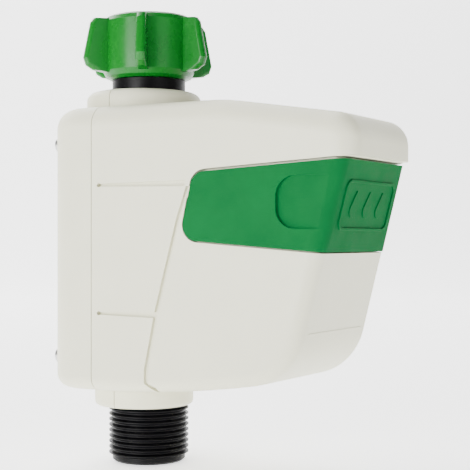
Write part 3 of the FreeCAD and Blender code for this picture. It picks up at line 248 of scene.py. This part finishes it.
def rounded_rectangle(half_width, half_height, corner):
    """A closed outline, anticlockwise, with round corners."""
    points = []
    for index, (side, rise) in enumerate([(1, 1), (-1, 1), (-1, -1), (1, -1)]):
        for step in range(ARC_STEPS + 1):
            angle = math.pi / 2 * (index + step / ARC_STEPS)
            points.append(Vector((side * (half_width - corner) + corner * math.cos(angle),
                                  rise * (half_height - corner) + corner * math.sin(angle))))
    return points


def droplet(radius, tip, x):
    """A water drop's outline, anticlockwise: a circle with two tangents up to a point."""
    lean = math.acos(radius / tip)
    turns = 2 * math.pi - 2 * lean
    steps = 4 * ARC_STEPS
    arc = [math.pi / 2 + lean + turns * step / steps for step in range(steps + 1)]
    return [Vector((x, tip))] + [Vector((x + radius * math.cos(a), radius * math.sin(a))) for a in arc]


def moved_in(outline, amount):
    """The outline with every point moved inwards along its corner's bisector."""
    result = []
    for index, point in enumerate(outline):
        before = (point - outline[index - 1]).normalized()
        after = (outline[(index + 1) % len(outline)] - point).normalized()
        inward = Vector((-before.y - after.y, before.x + after.x)).normalized()
        result.append(point + inward * amount)
    return result


def on_face(face_y, z):
    """The matrix of the leaning front face at a height: its own Z points out of it."""
    lean = math.atan(FACE_LEAN)
    across = Vector((1, 0, 0))
    up = Vector((0, -math.sin(lean), math.cos(lean)))
    out = Vector((0, -math.cos(lean), -math.sin(lean)))
    turn = Matrix((across, up, out)).transposed().to_4x4()
    return Matrix.Translation(Vector((0, face_y - FACE_LEAN * z, z))) @ turn


def relief(name, outline, profile, place, hollow, body, slot):
    """Sweeps a profile of (inset, height) round an outline. A hollow one is a rim, others are capped."""
    mesh = bmesh.new()
    rows = []
    for inset, height in profile:
        rows.append([mesh.verts.new((p.x, p.y, height)) for p in moved_in(outline, inset)])
    pairs = list(zip(rows, rows[1:]))
    if hollow:
        pairs.append((rows[-1], rows[0]))
    for low, high in pairs:
        for index in range(len(outline)):
            nxt = (index + 1) % len(outline)
            mesh.faces.new((low[index], low[nxt], high[nxt], high[index]))
    if not hollow:
        mesh.faces.new(rows[-1])
        mesh.faces.new(list(reversed(rows[0])))
    bmesh.ops.recalc_face_normals(mesh, faces=mesh.faces)
    data = bpy.data.meshes.new(name)
    mesh.to_mesh(data)
    mesh.free()
    piece = bpy.data.objects.new(name, data)
    bpy.context.scene.collection.objects.link(piece)
    piece.matrix_world = place
    data.materials.append(MATERIALS[slot])
    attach(piece, body)


def front_details():
    """A plain rim with three drops on the band, and a faint line low on the case."""
    band = on_face(BAND_FACE_Y, RIM_Z)
    relief("band_rim", rounded_rectangle(RIM_HALF_WIDTH, RIM_HALF_HEIGHT, RIM_CORNER),
           [(0, -SINK), (0, RIM_PROUD - BEVEL), (BEVEL, RIM_PROUD), (RIM_WIDE - BEVEL, RIM_PROUD),
            (RIM_WIDE, RIM_PROUD - BEVEL), (RIM_WIDE, -SINK)], band, True, "drawer", "green_grain")
    drop_profile = [(0, -SINK), (0, DROP_PROUD - BEVEL), (BEVEL, DROP_PROUD)]
    for index in (-1, 0, 1):
        relief("band_drop_%d" % (index + 2), droplet(DROP_RADIUS, DROP_TIP, index * DROP_STEP),
               drop_profile, on_face(BAND_FACE_Y, RIM_Z - 1.2 * MM), False, "drawer", "green_grain")
    line = rounded_rectangle(LINE_HALF_WIDTH, LINE_HALF_HEIGHT, LINE_HALF_HEIGHT)
    relief("front_line", line, [(0, -SINK), (0, LINE_PROUD - BEVEL), (BEVEL, LINE_PROUD)],
           on_face(CASE_FACE_Y, LINE_Z), False, "housing", "cream_plastic")


front_details()


# ---------------------------------------------------------------- springs in zinc steel

def following_spring(node, body, fixed_end, moving_end):
    """Shows a copy of the spring in zinc steel in place of its CAD node, which it hides."""
    source = NODES[node]
    spring = bpy.data.objects.new(node + "_coil", source.data.copy())
    bpy.context.scene.collection.objects.link(spring)
    spring.matrix_world = source.matrix_world.copy()
    for slot in spring.material_slots:
        slot.material = MATERIALS["zinc_steel"]
    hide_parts(node)
    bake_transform(spring)


for spring in SPRINGS:
    following_spring(*spring)


# ---------------------------------------------------------------- floor, light and camera

def stage():
    """A pale sheet that runs from the floor up behind the timer."""
    floor_z = CAD_BOX[0].z - SHEET_DROP
    line = [(SHEET_NEAR, floor_z), (SHEET_BACK, floor_z)]
    for step in range(1, SHEET_BEND_STEPS + 1):
        angle = math.pi / 2 * step / SHEET_BEND_STEPS
        line.append((SHEET_BACK + SHEET_BEND * math.sin(angle),
                     floor_z + SHEET_BEND * (1 - math.cos(angle))))
    line.append((SHEET_BACK + SHEET_BEND, floor_z + SHEET_HEIGHT))
    mesh = bpy.data.meshes.new("backdrop")
    verts = [(side * SHEET_HALF_WIDTH, y, z) for y, z in line for side in (-1, 1)]
    faces = [(2 * i, 2 * i + 1, 2 * i + 3, 2 * i + 2) for i in range(len(line) - 1)]
    mesh.from_pydata(verts, [], faces)
    for face in mesh.polygons:
        face.use_smooth = True
    sheet = bpy.data.objects.new("backdrop", mesh)
    bpy.context.scene.collection.objects.link(sheet)
    sheet.rotation_euler = (0, 0, math.radians(VIEW_AZIMUTH))
    paper = moulded("backdrop_paper", (0.93, 0.93, 0.93), 0.85, 2 * MM, 0.02 * MM, 0.01, specular=0.1)
    glow = paper.node_tree.nodes["Principled BSDF"]
    glow.inputs["Emission Color"].default_value = (1, 1, 1, 1)
    glow.inputs["Emission Strength"].default_value = SHEET_GLOW
    sheet.data.materials.append(paper)


def area_light(name, azimuth, elevation, distance, width, power):
    """A soft square light at an azimuth and elevation round the timer's middle."""
    a, e = math.radians(azimuth), math.radians(elevation)
    out = Vector((math.sin(a) * math.cos(e), -math.cos(a) * math.cos(e), math.sin(e)))
    data = bpy.data.lights.new(name, "AREA")
    data.shape = "SQUARE"
    data.size = width
    data.energy = power
    lamp = bpy.data.objects.new(name, data)
    bpy.context.scene.collection.objects.link(lamp)
    lamp.location = MIDDLE + out * distance
    lamp.rotation_euler = (-out).to_track_quat("-Z", "Y").to_euler()


def camera():
    """The camera at the height of the timer's middle, looking level at its front left."""
    data = bpy.data.cameras.new("camera")
    data.lens = LENS
    data.sensor_width = SENSOR
    data.shift_y = SHIFT_Y
    cam = bpy.data.objects.new("camera", data)
    bpy.context.scene.collection.objects.link(cam)
    cam.location = CAMERA_PLACE
    a = math.radians(VIEW_AZIMUTH)
    forward = Vector((-math.sin(a), math.cos(a), 0))
    cam.rotation_euler = forward.to_track_quat("-Z", "Y").to_euler()
    bpy.context.scene.camera = cam


def world_light():
    """A weak even light from all round."""
    world = bpy.data.worlds.new("studio")
    bpy.context.scene.world = world
    world.use_nodes = True
    background = world.node_tree.nodes["Background"]
    background.inputs["Color"].default_value = (1, 1, 1, 1)
    background.inputs["Strength"].default_value = WORLD_STRENGTH


camera()
stage()
world_light()
for light in LIGHTS:
    area_light(*light)
